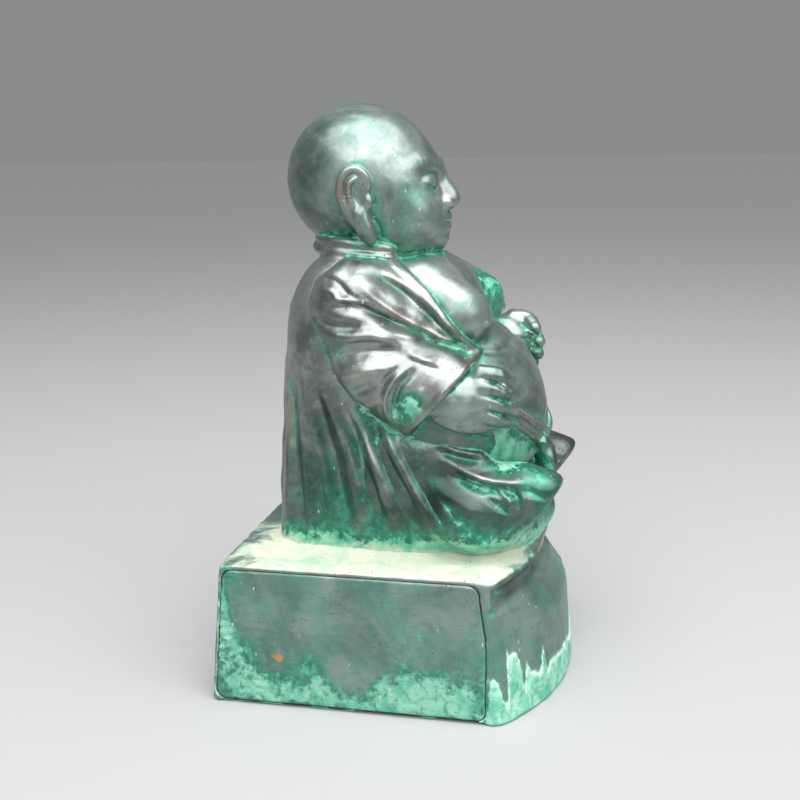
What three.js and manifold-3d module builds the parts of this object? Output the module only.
// Seated monk figure on a bowed plinth, built as hollow castings on a bolted base.
// Millimetres, +Z up. The figure faces -Y, its right hand is at -X, and the origin is
// the centre of the footprint on the surface that it stands on.

import * as THREE from 'three';
import { mergeVertices } from 'three/addons/utils/BufferGeometryUtils.js';
import Module from 'manifold-3d';

const wasm = await Module();
wasm.setup();

// ---------------------------------------------------------------- driving dimensions

const gap = 0.3; // clearance between neighbouring pieces
const wall = 2.6; // wall of the hollow castings

const plinth = {
  width: 80, // across, at the foot
  depth: 89.4, // front to back, at the foot, bow included
  height: 36.8,
  straight: 75.1, // length of a side face at the foot
  sideLean: 2.0, // how far each side leans in over the height
  backLean: 2.8,
  frontLean: 2.2,
  bow: 10.9, // how far the front bulges at its top edge
  bowShape: 2.2, // exponent of the bow's outline across the width
  swell: 3.4, // extra swell of the apron below the hollow band
  coveDepth: 2.0, // hollow band under the top edge of the front
  coveBottom: 28.0,
  coveTop: 33.4,
  floor: 0.4, // the casting stops just above the standing surface
  wall: 3.2,
};

const base = {
  felt: 1.2, // thickness of the felt
  plate: 2.0, // thickness of the closing plate
  feltInset: 2.3, // felt edge inside the plinth edge
  plateInset: 4.3, // closing plate edge inside the plinth edge
  bossRadius: 4.2,
  bossHeight: 12,
  webThickness: 3,
  screwX: 30,
  screwRear: 35,
  screwFront: -22,
};

const platePanel = {
  thickness: 1.8,
  marginFront: 3.0, // corner strip left in front of the panel
  marginBack: 1.4,
  marginTop: 1.2,
  low: 1.8, // lower edge above the standing surface
};

const screw = { shank: 1.5, length: 8, head: 2.9, headDepth: 1.6, slotWidth: 0.8, slotDepth: 0.6 };
const stud = { radius: 2, up: 9, down: 9, front: -16, rear: 9 };
const nut = { across: 7, height: 3.2 };
const washer = { radius: 4.6, thickness: 0.8 };

const boss = 3; // metal left round a stud or a dowel

const figureFoot = plinth.height + gap; // lowest level of the figure
const neckDowel = { radius: 3.4, low: 104, high: 124, y: 8 };
const waistDowel = { radius: 4, low: 53, high: 69, y: 2 };
const corePrint = { radius: 5, y: -12, low: 40, high: 90, seat: 49.5 }; // casting opening at the lap

// ---------------------------------------------------------------- body forms: centres and radii

// Forms with a side are given for the right of the figure, at -X, and mirrored for the left.
const torso = {
  belly: [[0, -9, 73], [25, 28.5, 24]],
  chest: [[0, -3, 96], [21, 20, 17]],
  breast: [[-10, -14, 97.5], [11.5, 11, 10]],
  neck: { from: [0, 9, 104], to: [0, 8, 114], radii: [12, 10.5] },
};

const legs = {
  thigh: { from: [-14, 2, 50], to: [-18, -25, 50], radii: [13, 12.4] },
  lap: { from: [-17, -3, 60], to: [-18.5, -22, 58.5], radii: [9.6, 7.4] },
  knee: [[-19, -31, 53], [7.8, 11.5, 8.2]],
  shin: { from: [-18, -26, 46], to: [-3, -31, 44.5], radii: [8, 6.5] },
  seat: [[0, -2, 47], [21.5, 26, 16]],
  seatHollow: [[0, -2, 50], [16, 23.4, 11]],
  front: { from: [0, -14, 42], to: [0, -23, 43], radii: [12, 10] },
};

const robe = {
  top: 117,
  footHalf: 23.2, // half of the width at the foot
  swell: 4.3, // how much wider the upper arms make it
  neckShare: 0.42, // half width at the very top, as a share
  back: 33.4, // where the back stands at the foot
  backRise: 3.6, // how far the back comes forward over the height
  shoulderFall: 9,
  shoulderStart: 0.72, // share of the height where the shoulders begin to round
  front: -23,
  frontRise: 12,
  squareness: 0.76,
};

const collar = { radius: 13.5, tube: 2.6, stretch: 1.1, tilt: 0.12, y: 10.5, z: 113.6 };

const arm = {
  shoulder: [-16.2, 8.6, 99.6],
  elbow: [-19.6, 1.8, 86],
  cuff: [-22.2, -12.5, 80.5],
  hem: [-22.5, -5.5, 76.5],
  radii: { shoulder: 13.2, elbow: 12, cuff: 8.9, bag: 11.4, hem: 8 },
};

const hand = {
  wrist: [-24.5, -13, 79],
  palm: [-22.6, -22.5, 78],
  tips: [-18.5, -29, 77.5],
  radii: { wrist: 5.2, palm: 6.4, tips: 4.4 },
};

const head = {
  skull: [[0, 10.6, 130.4], [17.5, 20, 19.5]],
  face: [[0, 2.5, 122], [13.5, 12.5, 11]],
  nose: [[0, -10, 126], [2.2, 2.6, 3.4]],
  ear: [[-17, 8, 125], [2.2, 4.2, 9.8]],
};

const sash = { from: [0, -36, 61], to: [-3, -41, 51.5], radii: [3.4, 1.6] };

// ---------------------------------------------------------------- finishes

const finish = (color, roughness, metalness) =>
  new THREE.MeshStandardMaterial({ color, roughness, metalness });

const finishes = {
  patina: finish(0x3c5a52, 0.42, 0.75),
  plate: finish(0x456e60, 0.5, 0.7),
  rawCasting: finish(0x7a6a45, 0.6, 0.8),
  steel: finish(0x8d9094, 0.4, 1.0),
  felt: finish(0x24362c, 0.95, 0.0),
};

// ---------------------------------------------------------------- solids from geometries

// A closed three.js geometry as a solid that can be cut and joined.
function solid(geometry) {
  const bare = geometry.clone();
  for (const name of ['normal', 'uv']) bare.deleteAttribute(name);
  const merged = mergeVertices(bare, 1e-4);
  return new wasm.Manifold(new wasm.Mesh({
    numProp: 3,
    vertProperties: new Float32Array(merged.attributes.position.array),
    triVerts: new Uint32Array(merged.index.array),
  }));
}

// The largest connected body of a solid, without offcuts.
function largest(body) {
  const bodies = body.decompose();
  return bodies.reduce((best, next) => (next.volume() > best.volume() ? next : best));
}

// A solid back as a geometry for a mesh.
function geometryOf(body) {
  const mesh = body.getMesh();
  const geometry = new THREE.BufferGeometry();
  const positions = [];
  for (let i = 0; i < mesh.numVert; i += 1) {
    for (let k = 0; k < 3; k += 1) positions.push(mesh.vertProperties[i * mesh.numProp + k]);
  }
  geometry.setAttribute('position', new THREE.Float32BufferAttribute(positions, 3));
  geometry.setIndex(Array.from(mesh.triVerts));
  geometry.computeVertexNormals();
  return geometry;
}

function join(bodies) {
  return bodies.reduce((sum, body) => sum.add(body));
}

// Moves every vertex of a geometry with a function.
function reshape(geometry, move) {
  const position = geometry.attributes.position;
  const point = new THREE.Vector3();
  for (let i = 0; i < position.count; i += 1) {
    point.fromBufferAttribute(position, i);
    move(point);
    position.setXYZ(i, point.x, point.y, point.z);
  }
  return geometry;
}

// An egg: a sphere stretched to three radii about a centre, all radii larger by grow.
function egg(center, radii, grow = 0, round = 20) {
  const geometry = new THREE.SphereGeometry(1, round, Math.round(round * 0.6));
  geometry.rotateX(Math.PI / 2);
  geometry.scale(radii[0] + grow, radii[1] + grow, radii[2] + grow);
  geometry.translate(...center);
  return solid(geometry);
}

// A limb: a round bar with round ends from one point to another, with a radius at each.
function limb(from, to, radiusFrom, radiusTo, grow = 0, round = 16) {
  const start = new THREE.Vector3(...from);
  const end = new THREE.Vector3(...to);
  const length = start.distanceTo(end);
  const r0 = radiusFrom + grow;
  const r1 = radiusTo + grow;
  const steps = 4;
  const profile = [];
  for (let i = 0; i <= steps; i += 1) {
    const angle = -Math.PI / 2 + (Math.PI / 2) * (i / steps);
    profile.push(new THREE.Vector2(i === 0 ? 0 : r0 * Math.cos(angle), r0 * Math.sin(angle)));
  }
  for (let i = 0; i <= steps; i += 1) {
    const angle = (Math.PI / 2) * (i / steps);
    profile.push(new THREE.Vector2(i === steps ? 0 : r1 * Math.cos(angle), length + r1 * Math.sin(angle)));
  }
  const geometry = new THREE.LatheGeometry(profile, round);
  const along = end.clone().sub(start).normalize();
  geometry.applyQuaternion(new THREE.Quaternion().setFromUnitVectors(new THREE.Vector3(0, 1, 0), along));
  geometry.translate(start.x, start.y, start.z);
  return solid(geometry);
}

function rod(x, y, low, high, radius, sides = 12) {
  const geometry = new THREE.CylinderGeometry(radius, radius, high - low, sides);
  geometry.rotateX(Math.PI / 2);
  geometry.translate(x, y, (low + high) / 2);
  return solid(geometry);
}

function block(low, high) {
  const size = high.map((value, k) => value - low[k]);
  const geometry = new THREE.BoxGeometry(...size);
  geometry.translate(...high.map((value, k) => (value + low[k]) / 2));
  return solid(geometry);
}

const aboveFoot = (low = figureFoot) => block([-60, -60, low], [60, 60, 200]);

// ---------------------------------------------------------------- plinth

const backY = plinth.depth / 2;
const sideFrontY = backY - plinth.straight;

// How far the middle of the front stands proud of its corners at a height.
function bowAt(z) {
  const below = Math.max(0, plinth.coveBottom - z) / plinth.coveBottom;
  const swell = plinth.swell * Math.sin(Math.min(1, below * 1.6) * Math.PI / 2);
  const inBand = (z - plinth.coveBottom) / (plinth.coveTop - plinth.coveBottom);
  const cove = inBand > 0 && inBand < 1 ? plinth.coveDepth * Math.sin(inBand * Math.PI) : 0;
  return plinth.bow + swell - cove;
}

// A prism of the plinth's outline, inset all round, between two heights.
function plinthPrism(inset, low, high, levels) {
  const half = plinth.width / 2;
  const outline = new THREE.Shape();
  outline.moveTo(-half, backY);
  outline.lineTo(-half, sideFrontY);
  const bowSteps = 14;
  for (let i = 1; i < bowSteps; i += 1) outline.lineTo(-half + (plinth.width * i) / bowSteps, sideFrontY);
  outline.lineTo(half, sideFrontY);
  outline.lineTo(half, backY);
  outline.closePath();
  const geometry = new THREE.ExtrudeGeometry(outline, {
    depth: high - low, steps: levels, bevelEnabled: false,
  });
  return solid(reshape(geometry, (p) => {
    const z = low + p.z;
    const lean = z / plinth.height;
    const halfHere = half - plinth.sideLean * lean - inset;
    const across = p.x / half;
    if (p.y > 0) {
      p.y = backY - plinth.backLean * lean - inset;
    } else {
      const bow = bowAt(z) * (1 - Math.abs(across) ** plinth.bowShape);
      p.y = sideFrontY + plinth.frontLean * lean + inset - bow;
    }
    p.x = across * halfHere;
    p.z = z;
  }));
}

// The flat panel let into one side; side is -1 for the right of the figure, +1 for its left.
function sidePanel(side, grow) {
  const low = platePanel.low - grow;
  const high = plinth.height - platePanel.marginTop + grow;
  return solid(reshape(new THREE.BoxGeometry(1, 1, 1), (p) => {
    const z = p.z > 0 ? high : low;
    const lean = z / plinth.height;
    const outer = plinth.width / 2 - plinth.sideLean * lean;
    const inner = outer - platePanel.thickness - grow;
    const x = p.x * side > 0 ? outer + (grow > 0 ? 1 : 0) : inner;
    const front = sideFrontY + platePanel.marginFront + plinth.frontLean * lean - grow;
    const back = backY - platePanel.marginBack - plinth.backLean * lean + grow;
    p.set(side * x, p.y > 0 ? back : front, z);
  }));
}

const screwPlaces = [
  [-base.screwX, base.screwFront],
  [base.screwX, base.screwFront],
  [-base.screwX, base.screwRear],
  [base.screwX, base.screwRear],
];

const plateLow = base.felt + gap;
const plateHigh = plateLow + base.plate;

function plinthShell() {
  const outer = plinthPrism(0, plinth.floor, plinth.height, 16);
  const inner = plinthPrism(plinth.wall, -1, plinth.height - plinth.wall, 4);
  const recess = join([
    plinthPrism(base.feltInset - gap, -1, plateLow, 1),
    plinthPrism(base.plateInset - gap, -1, plateHigh + gap, 1),
  ]);
  const bosses = screwPlaces.map(([x, y]) =>
    rod(x, y, plateHigh + gap, plateHigh + base.bossHeight, base.bossRadius));
  const webs = screwPlaces.map(([x, y]) => {
    const wallX = Math.sign(x) * (plinth.width / 2 - plinth.wall);
    const low = [Math.min(x, wallX), y - base.webThickness / 2, plateHigh + gap];
    const high = [Math.max(x, wallX), y + base.webThickness / 2, plateHigh + base.bossHeight];
    return block(low, high);
  });
  const backing = [-1, 1].map((side) => sidePanel(side, platePanel.thickness).intersect(outer));
  let shell = outer.subtract(inner);
  shell = join([shell, ...backing, ...bosses, ...webs]).intersect(outer).subtract(recess);
  for (const side of [-1, 1]) shell = shell.subtract(sidePanel(side, gap));
  for (const [x, y] of screwPlaces) {
    shell = shell.subtract(rod(x, y, 0, plateHigh + base.bossHeight - 2, screw.shank + gap));
  }
  for (const y of [stud.front, stud.rear]) {
    shell = shell.subtract(rod(0, y, plinth.height - 6, plinth.height + 1, stud.radius + gap));
  }
  return largest(shell);
}

function basePlate() {
  let plate = plinthPrism(base.plateInset, plateLow, plateHigh, 1);
  for (const [x, y] of screwPlaces) {
    plate = plate.subtract(rod(x, y, 0, plateHigh + 1, screw.shank + gap));
    plate = plate.subtract(rod(x, y, 0, plateLow + screw.headDepth, screw.head + gap));
  }
  return plate;
}

function baseScrew(x, y) {
  const low = plateLow + 0.1; // the head sits just inside the plate
  const high = plateLow + screw.headDepth - gap;
  const head = rod(x, y, low, high, screw.head);
  const shank = rod(x, y, (low + high) / 2, low + screw.length, screw.shank);
  const slot = block(
    [x - screw.head - 1, y - screw.slotWidth / 2, low - 1],
    [x + screw.head + 1, y + screw.slotWidth / 2, low + screw.slotDepth],
  );
  return head.add(shank).subtract(slot);
}

// ---------------------------------------------------------------- body forms as solids

// A named form as a solid, on the right (side -1) or mirrored to the left (side 1).
function formOf(form, side, grow, round) {
  const flip = ([x, y, z]) => [side === 1 ? -x : x, y, z];
  if (Array.isArray(form)) return egg(flip(form[0]), form[1], grow, round);
  return limb(flip(form.from), flip(form.to), ...form.radii, grow, round);
}

function torsoForm(grow) {
  return join([
    formOf(torso.belly, -1, grow, 22),
    formOf(torso.chest, -1, grow, 18),
    formOf(torso.breast, -1, grow, 14),
    formOf(torso.breast, 1, grow, 14),
    formOf(torso.neck, -1, grow, 14),
  ]);
}

function legsForm(grow) {
  const half = (side) => [
    formOf(legs.thigh, side, grow, 16),
    formOf(legs.lap, side, grow, 14),
    formOf(legs.knee, side, grow, 14),
    formOf(legs.shin, side, grow, 12),
  ];
  return join([
    ...half(-1),
    ...half(1),
    formOf(legs.seat, -1, grow, 18),
    formOf(legs.front, -1, grow, 14),
  ]);
}

// The outside of the drapery: a tall form with a flat back, round shoulders and a wide foot.
function robeForm(grow) {
  const foot = figureFoot - 2;
  const geometry = new THREE.CylinderGeometry(1, 1, 1, 32, 12);
  geometry.rotateX(Math.PI / 2);
  return solid(reshape(geometry, (p) => {
    const h = p.z + 0.5;
    const shoulder = Math.max(0, (h - robe.shoulderStart) / (1 - robe.shoulderStart));
    const round = Math.sqrt(Math.max(0, 1 - shoulder ** 2.4));
    const widest = robe.footHalf + robe.swell * Math.sin(Math.min(1, h / 0.75) * Math.PI / 2);
    const halfWidth = widest * (robe.neckShare + (1 - robe.neckShare) * round);
    const back = robe.back - robe.backRise * h - robe.shoulderFall * shoulder ** 1.6;
    const front = robe.front + robe.frontRise * h;
    const halfDepth = ((back - front) / 2) * (shoulder > 0 ? 0.72 + 0.28 * round : 1);
    p.x = Math.sign(p.x) * Math.abs(p.x) ** robe.squareness * (halfWidth + grow);
    p.y = (back + front) / 2 + Math.sign(p.y) * Math.abs(p.y) ** robe.squareness * (halfDepth + grow);
    p.z = foot + (robe.top - foot) * h + grow * (2 * h - 1);
  }));
}

function sleeveForm(side, grow) {
  const { shoulder, elbow, cuff, bag, hem } = arm.radii;
  return join([
    formOf({ from: arm.shoulder, to: arm.elbow, radii: [shoulder, elbow] }, side, grow, 16),
    formOf({ from: arm.elbow, to: arm.cuff, radii: [elbow, cuff] }, side, grow, 16),
    formOf({ from: arm.elbow, to: arm.hem, radii: [bag, hem] }, side, grow, 14),
  ]);
}

function handForm(side, grow) {
  const { wrist, palm, tips } = hand.radii;
  return join([
    formOf({ from: hand.wrist, to: hand.palm, radii: [wrist, palm] }, side, grow, 12),
    formOf({ from: hand.palm, to: hand.tips, radii: [palm, tips] }, side, grow, 12),
  ]);
}

function headForm(grow) {
  return join([
    formOf(head.skull, -1, grow, 22),
    formOf(head.face, -1, grow, 18),
    formOf(head.nose, -1, grow, 12),
    formOf(head.ear, -1, grow, 16),
    formOf(head.ear, 1, grow, 16),
  ]);
}

// The inside of a hollow casting: a form with the wall taken off.
const hollowOf = (form, round) => formOf(form, -1, -wall, round);

// ---------------------------------------------------------------- figure pieces

function headPiece() {
  const socket = rod(0, neckDowel.y, 100, neckDowel.high + 2, neckDowel.radius + gap);
  return largest(headForm(0).subtract(hollowOf(head.skull, 14)).subtract(socket).subtract(torsoForm(gap)));
}

function torsoPiece() {
  const hollow = join([hollowOf(torso.belly, 14), hollowOf(torso.chest, 12)]);
  const bosses = join([
    rod(0, neckDowel.y, neckDowel.low - 4, neckDowel.high, neckDowel.radius + boss),
    rod(0, waistDowel.y, waistDowel.low, waistDowel.high + boss, waistDowel.radius + boss),
  ]).intersect(torsoForm(0));
  const openings = join([
    rod(0, neckDowel.y, neckDowel.low - gap, neckDowel.high + 6, neckDowel.radius + gap),
    rod(0, waistDowel.y, corePrint.low, waistDowel.high + gap, waistDowel.radius + gap),
    rod(0, corePrint.y, corePrint.low, 60, corePrint.radius),
  ]);
  return largest(torsoForm(0).subtract(hollow).add(bosses).subtract(openings).subtract(legsForm(gap)));
}

function trousersPiece() {
  const hollow = formOf(legs.seatHollow, -1, 0, 12).intersect(aboveFoot(figureFoot + 5));
  const bosses = join([
    rod(0, waistDowel.y, figureFoot + 4, 80, waistDowel.radius + boss),
    ...[stud.front, stud.rear].map((y) => rod(0, y, figureFoot, figureFoot + stud.up + boss, stud.radius + boss)),
  ]).intersect(legsForm(0));
  const openings = join([
    rod(0, waistDowel.y, waistDowel.low - gap, 90, waistDowel.radius + gap),
    rod(0, corePrint.y, corePrint.seat, corePrint.high, corePrint.radius),
    ...[stud.front, stud.rear].map((y) => rod(0, y, figureFoot - 1, figureFoot + stud.up, stud.radius + gap)),
  ]);
  return largest(legsForm(0).intersect(aboveFoot()).subtract(hollow).add(bosses).subtract(openings));
}

function robePiece() {
  const ring = new THREE.TorusGeometry(collar.radius, collar.tube, 8, 24);
  ring.scale(1, collar.stretch, 1);
  ring.rotateX(collar.tilt);
  ring.translate(0, collar.y, collar.z);
  const behindThroat = block([-30, -2, 100], [30, 40, 130]);
  const outer = robeForm(0).intersect(aboveFoot()).add(solid(ring).intersect(behindThroat));
  return largest(outer.subtract(torsoForm(gap)).subtract(legsForm(gap)).subtract(headForm(gap)));
}

function sleevePiece(side) {
  return largest(sleeveForm(side, 0).subtract(torsoForm(gap)).subtract(robeForm(gap))
    .subtract(handForm(side, gap)).subtract(legsForm(gap)));
}

function handPiece(side) {
  return largest(handForm(side, 0).subtract(torsoForm(gap)).subtract(robeForm(gap)).subtract(legsForm(gap)));
}

function sashPiece() {
  return largest(formOf(sash, -1, 0, 12).subtract(torsoForm(gap)).subtract(legsForm(gap)));
}

// ---------------------------------------------------------------- the assembly

const statue = new THREE.Group();

function place(name, body, look) {
  const mesh = new THREE.Mesh(geometryOf(body), look.clone());
  mesh.name = name;
  statue.add(mesh);
}

place('felt_pad', plinthPrism(base.feltInset, 0, base.felt, 1), finishes.felt);
place('base_plate', basePlate(), finishes.steel);
screwPlaces.forEach(([x, y], i) => place(`base_screw_${i + 1}`, baseScrew(x, y), finishes.steel));
place('plinth_shell', plinthShell(), finishes.patina);
place('plinth_side_plate_right', sidePanel(-1, 0), finishes.plate);
place('plinth_side_plate_left', sidePanel(1, 0), finishes.plate);

for (const [end, y] of [['front', stud.front], ['rear', stud.rear]]) {
  const under = plinth.height - plinth.wall - gap;
  const washerLow = under - washer.thickness;
  const nutHigh = washerLow - gap;
  const hole = rod(0, y, 0, 60, stud.radius + gap);
  place(`figure_stud_${end}`, rod(0, y, plinth.height - stud.down, figureFoot + stud.up - gap, stud.radius),
    finishes.steel);
  place(`stud_washer_${end}`, rod(0, y, washerLow, under, washer.radius, 20).subtract(hole), finishes.steel);
  place(`stud_nut_${end}`, rod(0, y, nutHigh - nut.height, nutHigh, nut.across / Math.sqrt(3), 6).subtract(hole),
    finishes.steel);
}

place('trousers', trousersPiece(), finishes.patina);
place('torso', torsoPiece(), finishes.patina);
place('waist_dowel', rod(0, waistDowel.y, waistDowel.low, waistDowel.high, waistDowel.radius), finishes.rawCasting);
place('robe', robePiece(), finishes.patina);
place('waist_sash', sashPiece(), finishes.patina);
place('right_sleeve', sleevePiece(-1), finishes.patina);
place('left_sleeve', sleevePiece(1), finishes.patina);
place('right_hand', handPiece(-1), finishes.patina);
place('left_hand', handPiece(1), finishes.patina);
place('neck_dowel', rod(0, neckDowel.y, neckDowel.low, neckDowel.high, neckDowel.radius), finishes.rawCasting);
place('head', headPiece(), finishes.patina);

export default statue;
